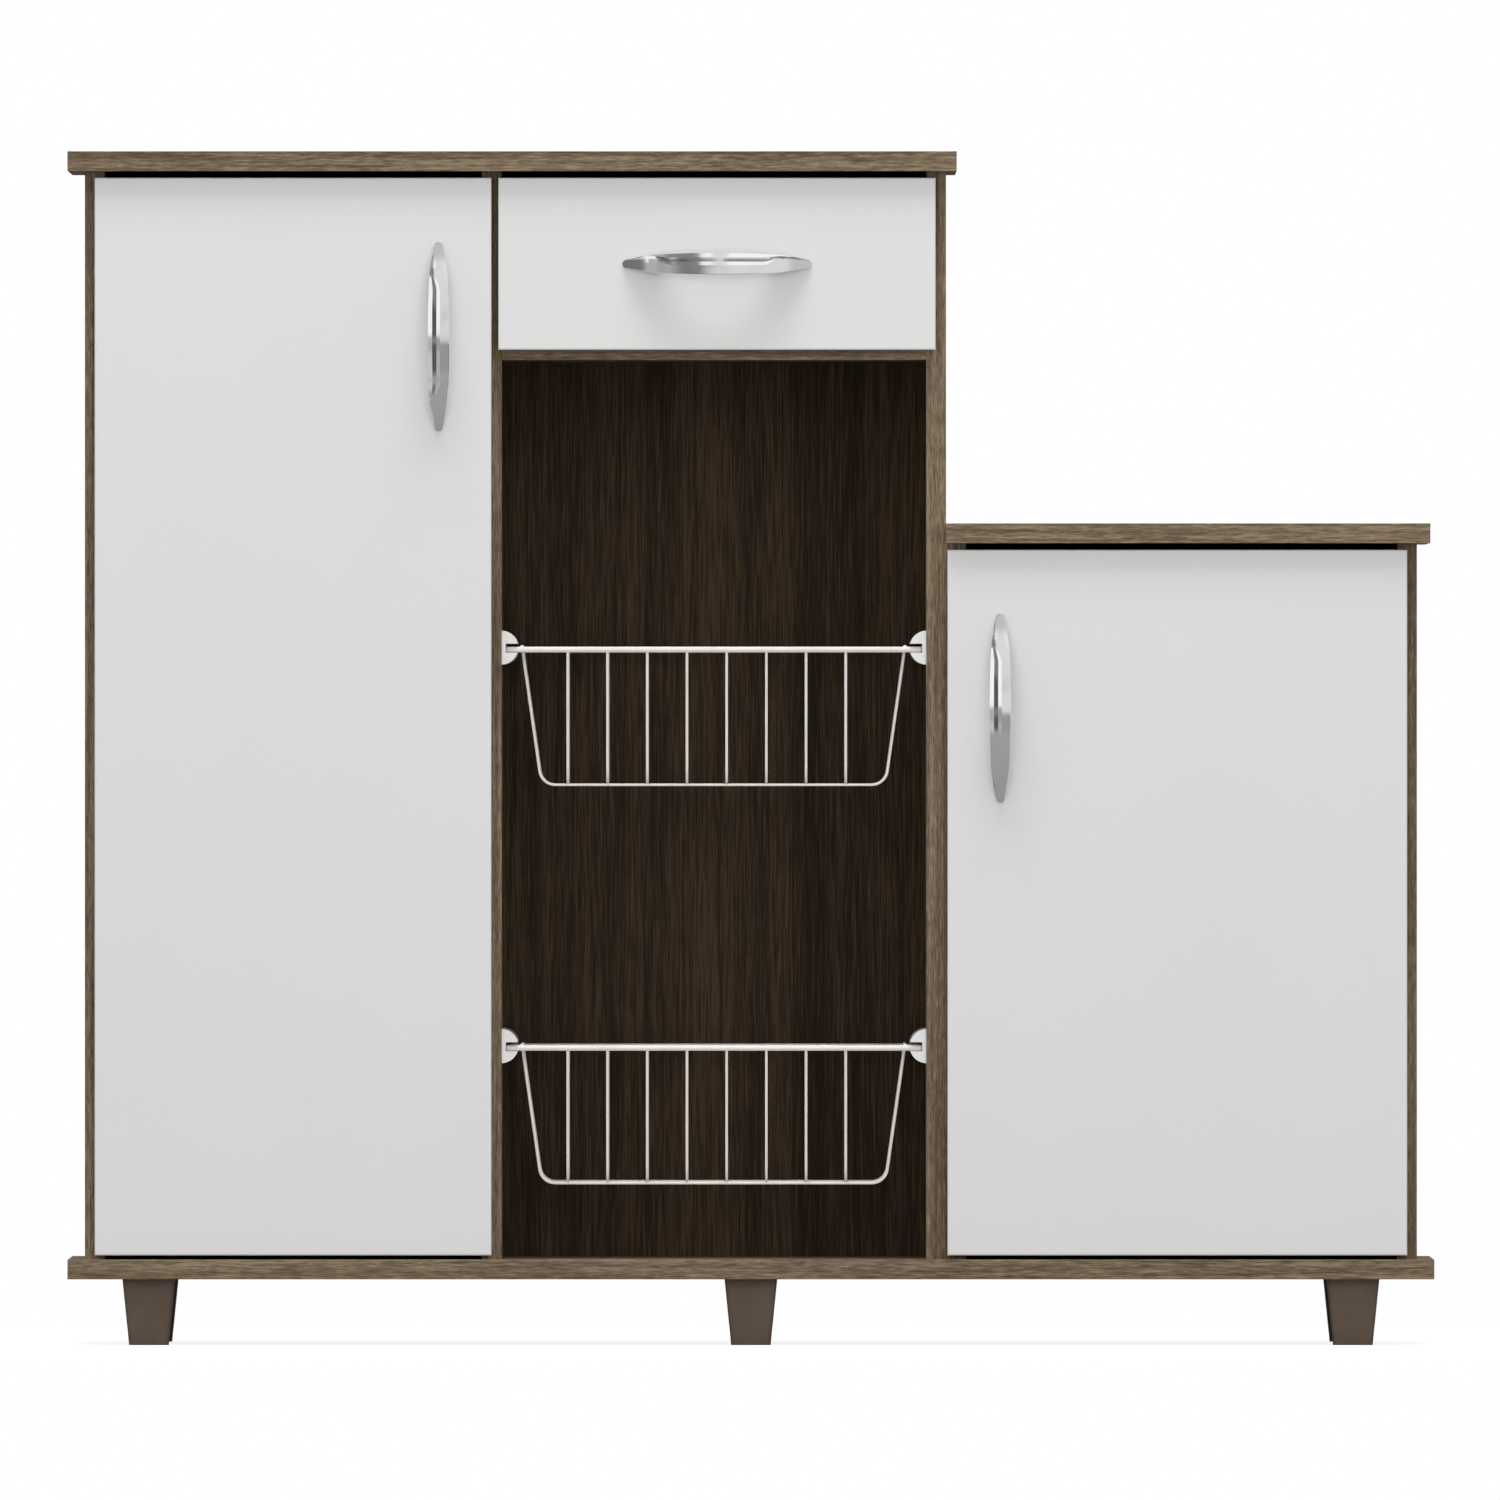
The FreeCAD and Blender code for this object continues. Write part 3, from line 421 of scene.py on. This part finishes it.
# Points round the front of the handle. First two values: its place on the grip as a share of the
# half width there, and how far it lies below the ridge. Last two: the same on a foot, both as
# shares of the half width.
HANDLE_FACE = [
    (-1.0, 3.72 * MM, -1.0, 0.20),
    (-0.985, 3.37 * MM, -0.985, 0.13),
    (-0.60, 1.76 * MM, -0.88, 0.05),
    (-0.58, 1.71 * MM, -0.87, 0.045),
    (-0.20, 1.16 * MM, -0.70, 0.015),
    (-0.18, 1.10 * MM, -0.69, 0.013),
    (0.14, 0.0, -0.60, 0.0),
    (0.50, 0.06 * MM, 0.30, 0.03),
    (0.95, 0.12 * MM, 0.95, 0.08),
    (0.985, 0.5 * MM, 0.985, 0.19),
    (1.0, 1.0 * MM, 1.0, 0.30),
]
# The front falls by no more than this share of the handle's thickness
MOST_FALL = 0.85

# Points round its back: a share of the half width, and a share of the thickness above the back
HANDLE_BACK = [(0.97, 0.12), (0.90, 0.0), (-0.90, 0.0), (-0.97, 0.05)]


def arc_radius(reach, top):
    """Radius of an arc with this half chord and rise."""
    return (reach * reach + top * top) / (2 * top)


def arc_height(reach, top, place):
    """Height of an arc with this half chord and rise, at a place along its chord."""
    radius = arc_radius(reach, top)
    return math.sqrt(max(radius * radius - place * place, 0)) - (radius - top)


def ease(share):
    """A smooth step from 0 to 1."""
    share = min(max(share, 0), 1)
    return share * share * (3 - 2 * share)


def leaf_half(reach, half, half_width):
    """Half width of the leaf this far from its middle.

    It is a long arc, then a tapering foot and a round tip.
    """
    shoulder = half - TIP_ROUND
    if reach > shoulder:
        radius = arc_radius(TIP_HALF, TIP_ROUND)
        return math.sqrt(max(radius**2 - (reach - half + radius) ** 2, TIP_LEAST**2))
    wide = END_HALF + arc_height(half, half_width - END_HALF, reach)
    at_foot = END_HALF + arc_height(half, half_width - END_HALF, FOOT_START)
    taper = at_foot + (TIP_HALF - at_foot) * (reach - FOOT_START) / (shoulder - FOOT_START)
    share = min(max(0.5 + (taper - wide) / (2 * FOOT_BLEND), 0), 1)
    return taper + (wide - taper) * share - FOOT_BLEND * share * (1 - share)


def bow_ring(place, half, half_width, rise):
    """Points round the bow at a place along it: how far across, and how far out from the door."""
    reach = abs(place)
    outer = TIP_RISE + arc_height(half, rise - TIP_RISE, place)
    inner = arc_height(GRIP_HALF, GRIP_RISE, place) if reach < GRIP_HALF else 0.0
    thick = outer - inner
    wide = leaf_half(reach, half, half_width)
    grip = ease((GRIP_HALF + GRIP_OVERLAP - reach) / GRIP_FADE)
    ring = []
    for share, fall, foot_share, foot_fall in HANDLE_FACE:
        across = (share * grip + foot_share * (1 - grip)) * wide
        drop = min(fall * grip + foot_fall * wide * (1 - grip), MOST_FALL * thick)
        ring.append((across, outer - drop))
    return ring + [(share * wide, inner + height * thick) for share, height in HANDLE_BACK]


def bow_handle(node, body, level):
    """A polished bow, leaf-shaped from the front, with three long facets on its grip."""
    low, high = (Vector(corner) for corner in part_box(node))
    middle = (low + high) / 2
    wide, rise, tall = (high[axis] - low[axis] for axis in range(3))
    half, half_width = (wide / 2, tall / 2) if level else (tall / 2, wide / 2)
    rings = []
    for i in range(HANDLE_STEPS + 1):
        place = -half * math.cos(math.pi * i / HANDLE_STEPS)
        ring = bow_ring(place, half, half_width, rise)
        if level:
            points = [(middle.x + place, high.y - out, middle.z - across) for across, out in ring]
        else:
            points = [(middle.x + across, high.y - out, middle.z + place) for across, out in ring]
        rings.append(points)
    made = mesh_piece(f"{node}_polished", *skin(rings), FINISHES["chrome"])
    split = made.modifiers.new("crisp_edges", "EDGE_SPLIT")
    split.split_angle = CREASE_ANGLE
    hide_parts(node)
    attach(made, body)


# Floor and lamps

FLOOR_RADIUS = 1.9
FLOOR_SIDES = 96
FLOOR_GLOW = (0.86, 0.86, 0.86, 1)
FLOOR_FADE = FLOOR_RADIUS * 0.86
FLOOR_FADE_SOFT = FLOOR_RADIUS * 0.13

# Each lamp: its name, where it hangs, where it points, its size in metres and its power in watts
LAMPS = [
    ("overhead", (0, -1.35, 4.9), (0, -0.3, 0.5), (3.0, 1.3), 142),
    ("front", (0.0, -4.0, 0.95), (0, 0, 0.42), (3.0, 1.8), 50),
]


def floor_finish():
    """A pale floor that shows white, keeps its shadows and fades out towards its rim."""
    f = Finish("studio_floor")
    seen = f.node("LightPath", out="Is Camera Ray")
    where = f.node("TexCoord", out="Object")
    away = f.node("VectorMath", {"operation": "LENGTH"}, {0: where}, out="Value")
    drift = f.speckle(per_metre=0.7, detail=2, rough=0.5)
    return f.shade(
        base_color=f.blend(drift * 0.3, FLOOR_PALE, FLOOR_GREYER),
        roughness=0.8,
        specular_ior_level=0.0,
        emission_color=f.blend(seen, BLACK, FLOOR_GLOW),
        emission_strength=1.0,
        alpha=1 - away.over(FLOOR_FADE, FLOOR_FADE_SOFT),
    )


def stage():
    rim = [2 * math.pi * i / FLOOR_SIDES for i in range(FLOOR_SIDES)]
    points = [(FLOOR_RADIUS * math.cos(turn), FLOOR_RADIUS * math.sin(turn), 0) for turn in rim]
    face = tuple(range(FLOOR_SIDES))
    floor = mesh_piece("studio_floor", points, [face], floor_finish(), smooth=False)


def lamp(name, place, target, size, power):
    """A soft lamp that metal doesn't mirror: the studio's panels are there for that."""
    data = bpy.data.lights.new(name, "AREA")
    data.shape = "RECTANGLE"
    data.size, data.size_y = size
    data.energy = power
    made = bpy.data.objects.new(name, data)
    made.location = place
    facing = Vector(target) - Vector(place)
    made.rotation_euler = facing.to_track_quat("-Z", "Y").to_euler()
    made.visible_camera = False
    made.visible_glossy = False
    bpy.context.scene.collection.objects.link(made)


# Studio

# Strengths of white: the sky that lights the object, above and below the horizon, and the backdrop
SKY = 0.68
SKY_BELOW = 0.38
HORIZON = (0.0, 0.1)
BACKDROP = 1.0

# The studio that metal mirrors, by direction: x to the right, y away from the front and z up, each
# from -1 to 1. An edge is its place and how soft it is; a panel is its two edges and how soft they
# are. The other numbers are strengths of white.

# Pale wall above and to the right, grey wall below and to the left, with a slanted edge between
# them. Both are greyer where feet look.
PALE_WALL = 0.74
GREY_WALL = 0.32
WALL_SLANT = 0.26
WALL_EDGE = (-0.06, 0.03)
FEET_PALE = 0.56
FEET_GREY = 0.18
FEET_EDGE = (-0.50, 0.06)

# Dark upright flag and dark level flag, each paler where long level or upright facets look
UPRIGHT_FLAG = (-0.50, -0.20, 0.03)
UPRIGHT_FLAG_TOP = (0.85, 0.05)
LEVEL_FLAG = (0.22, 0.42, 0.03)
LEVEL_FLAG_LEFT = (-0.68, -0.02, 0.02)
LEVEL_FLAG_RIGHT = (0.09, 0.95, 0.02)
FLAG_DARK = 0.09
FLAG_PALER = 0.12
FLAG_PALER_EDGE = (0.0, 0.04)
FLAG_GREY = 0.25
FLAG_GREY_PART = (-0.09, 0.0, 0.02)

# Pale screen at the left in two heights, each dimmer towards the middle, and a white window above
SCREEN_EDGE = (-0.60, 0.04)
SCREEN_DIM_EDGE = (-0.76, 0.02)
SCREEN_LOW = 0.60
SCREEN_LOW_DIM = 0.15
SCREEN_HIGH = 0.45
SCREEN_HIGH_DIM = 0.11
SCREEN_HIGH_EDGE = (-0.16, 0.02)
SCREEN_WINDOW_EDGE = (0.01, 0.02)

# White window overhead, dimmer where upright facets look
WINDOW = 1.0
WINDOW_RISE = (0.64, 0.90, 0.03)
WINDOW_WIDTH = (-0.18, 0.84, 0.03)
WINDOW_DIM = 0.25
WINDOW_DIM_PART = (-0.05, 0.12, 0.02)

# Two grey cards at the left where the left foot of a level bow looks
LOW_CARD_EDGE = (-0.86, 0.02)
LOW_CARD_RISE = (-0.40, 0.25, 0.03)
HIGH_CARD_EDGE = (-0.58, 0.03)
HIGH_CARD_DEPTH = (-0.30, 0.03)
HIGH_CARD_RISE = (0.25, 0.68, 0.03)


def studio_walls(x, y, z):
    """What metal mirrors in a direction."""
    above = (x * WALL_SLANT + z).over(*WALL_EDGE)
    walls = GREY_WALL + above * (PALE_WALL - GREY_WALL)
    walls = walls.towards(FEET_GREY + above * (FEET_PALE - FEET_GREY), y.over(*FEET_EDGE))

    upright = x.between(*UPRIGHT_FLAG) * (1 - z.over(*UPRIGHT_FLAG_TOP))
    level = z.between(*LEVEL_FLAG) * (x.between(*LEVEL_FLAG_LEFT) + x.between(*LEVEL_FLAG_RIGHT))
    dark = FLAG_DARK + (x + z).over(*FLAG_PALER_EDGE) * FLAG_PALER
    dark = dark.towards(FLAG_GREY, z.between(*FLAG_GREY_PART))
    walls = walls.towards(dark, upright + level - upright * level)

    screen = 1 - x.over(*SCREEN_EDGE)
    dimmer = x.over(*SCREEN_DIM_EDGE)
    high = screen * z.over(*SCREEN_HIGH_EDGE)
    walls = walls.towards(SCREEN_LOW - dimmer * SCREEN_LOW_DIM, screen)
    walls = walls.towards(SCREEN_HIGH - dimmer * SCREEN_HIGH_DIM, high)
    walls = walls.towards(WINDOW, screen * z.over(*SCREEN_WINDOW_EDGE))

    overhead = z.between(*WINDOW_RISE) * x.between(*WINDOW_WIDTH)
    walls = walls.towards(WINDOW - x.between(*WINDOW_DIM_PART) * WINDOW_DIM, overhead)

    low_card = (1 - x.over(*LOW_CARD_EDGE)) * z.between(*LOW_CARD_RISE)
    walls = walls.towards(FEET_GREY, low_card)
    high_card = (1 - x.over(*HIGH_CARD_EDGE)) * y.over(*HIGH_CARD_DEPTH)
    return walls.towards(FEET_GREY, high_card * z.between(*HIGH_CARD_RISE))


def studio_world():
    """White to the camera, an even sky for soft light, and the studio's walls for metal."""
    world = bpy.data.worlds.new("studio")
    world.use_nodes = True
    bpy.context.scene.world = world
    f = Finish("studio", world.node_tree)
    seen = f.node("LightPath", out="Is Camera Ray")
    glossy = seen.sister("Is Glossy Ray")
    where = f.node("TexCoord", out="Generated")
    x = f.node("SeparateXYZ", None, {0: where})
    y, z = x.sister("Y"), x.sister("Z")
    sky = SKY_BELOW + z.over(*HORIZON) * (SKY - SKY_BELOW)
    shade = (studio_walls(x, y, z) * glossy + (1 - glossy) * sky).towards(BACKDROP, seen)
    back = f.node("Background", None, {"Strength": shade, "Color": WHITE})
    f.node("OutputWorld", None, {"Surface": back})


# Camera

# The photograph's frame: its size in pixels, the real size of one, and where the object stands
FRAME_PIXELS = 1500
PIXEL = 0.7576 * MM
MIDDLE_COLUMN = 750.9
GROUND_ROW = 1345.6

# A very long lens, because the photograph has no perspective. Both values are in millimetres.
SENSOR = 36.0
LENS = 1650.0

# What the camera can see, as shares of its distance
NEAREST_SEEN = 0.01
FURTHEST_SEEN = 3


def camera():
    """The straight front view of the photograph."""
    data = bpy.data.cameras.new("front_view")
    data.sensor_width = SENSOR
    data.lens = LENS
    distance = FRAME_PIXELS * PIXEL * LENS / SENSOR
    data.clip_start = distance * NEAREST_SEEN
    data.clip_end = distance * FURTHEST_SEEN
    made = bpy.data.objects.new("front_view", data)
    x = (FRAME_PIXELS / 2 - MIDDLE_COLUMN) * PIXEL
    z = (GROUND_ROW - FRAME_PIXELS / 2) * PIXEL
    made.location = (x, CAD_BOX[0][1] - distance, z)
    made.rotation_euler = (math.pi / 2, 0, 0)
    bpy.context.scene.collection.objects.link(made)
    bpy.context.scene.camera = made


# Making

# The oak lifts are painted light and shade: level boards are paler as painted light, and the bottom
# board, drawer shelf and upright panels darker as painted shade
FINISHES = {
    "oak_level_painted_lit": woodgrain("oak_grain_across_painted_lit", "x", 0.37, 0.012, **OAK_PRINT),
    "oak_low_painted_shade": woodgrain("oak_grain_low_painted_shade", "x", 0.37, -0.004, **OAK_PRINT),
    "oak_upright_painted_shade": woodgrain("oak_grain_upright_painted_shade", "z", 2.11, -0.013, **OAK_PRINT),
    "oak_deep": woodgrain("oak_grain_deep", "y", 4.3, 0.0, **OAK_PRINT),
    "walnut": woodgrain("walnut_upright", "z", 7.9, 0.0, **WALNUT_PRINT),
    "white": white_laminate(),
    "chrome": bright_chrome(),
    "nickel": pressed_metal("nickel_plate", NICKEL, NICKEL_DULL, (260, 260, 1400)),
    "zinc": pressed_metal("zinc_plate", ZINC, ZINC_DULL, (700, 700, 700)),
    "wire": coated_wire(),
    "brown": brown_moulding(),
    "runner": white_extrusion(),
}

# Which oak each board takes: the level boards the one with painted light, the low boards and
# upright panels the ones with painted shade
BOARDS = {
    "oak_level_painted_lit": (
        "tall_top_board",
        "low_top_board",
        "upper_left_shelf",
        "lower_left_shelf",
        "low_shelf",
        "drawer_back",
        "drawer_bottom",
    ),
    "oak_low_painted_shade": ("bottom_board", "drawer_shelf_board"),
    "oak_upright_painted_shade": (
        "left_side_panel",
        "centre_divider",
        "tall_right_panel",
        "low_left_panel",
        "low_right_panel",
    ),
    "oak_deep": ("drawer_left_side", "drawer_right_side"),
}
WHITE_FRONTS = ("left_door_panel", "right_door_panel", "drawer_front")

# The first of these words that is in a node's name gives its finish
FINISH_WORDS = [
    ("back_sheet", "walnut"),
    ("screws", "zinc"),
    ("pins", "zinc"),
    ("handle", "chrome"),
    ("hinge", "nickel"),
    ("foot", "brown"),
    ("runner", "runner"),
    ("basket", "wire"),
]


def finish_of(node):
    if node in WHITE_FRONTS:
        return "white"
    for finish, boards in BOARDS.items():
        if node in boards:
            return finish
    return next(finish for word, finish in FINISH_WORDS if word in node)


def main():
    for node in NODES:
        dress(node, FINISHES[finish_of(node)])
    for boards in BOARDS.values():
        for node in boards:
            bevelled(NODES[node])
    bow_handle("left_door_handle", "left_door", level=False)
    bow_handle("right_door_handle", "right_door", level=False)
    bow_handle("drawer_handle", "drawer", level=True)
    stage()
    studio_world()
    for values in LAMPS:
        lamp(*values)
    camera()
    bpy.context.scene.view_settings.view_transform = "Standard"


main()
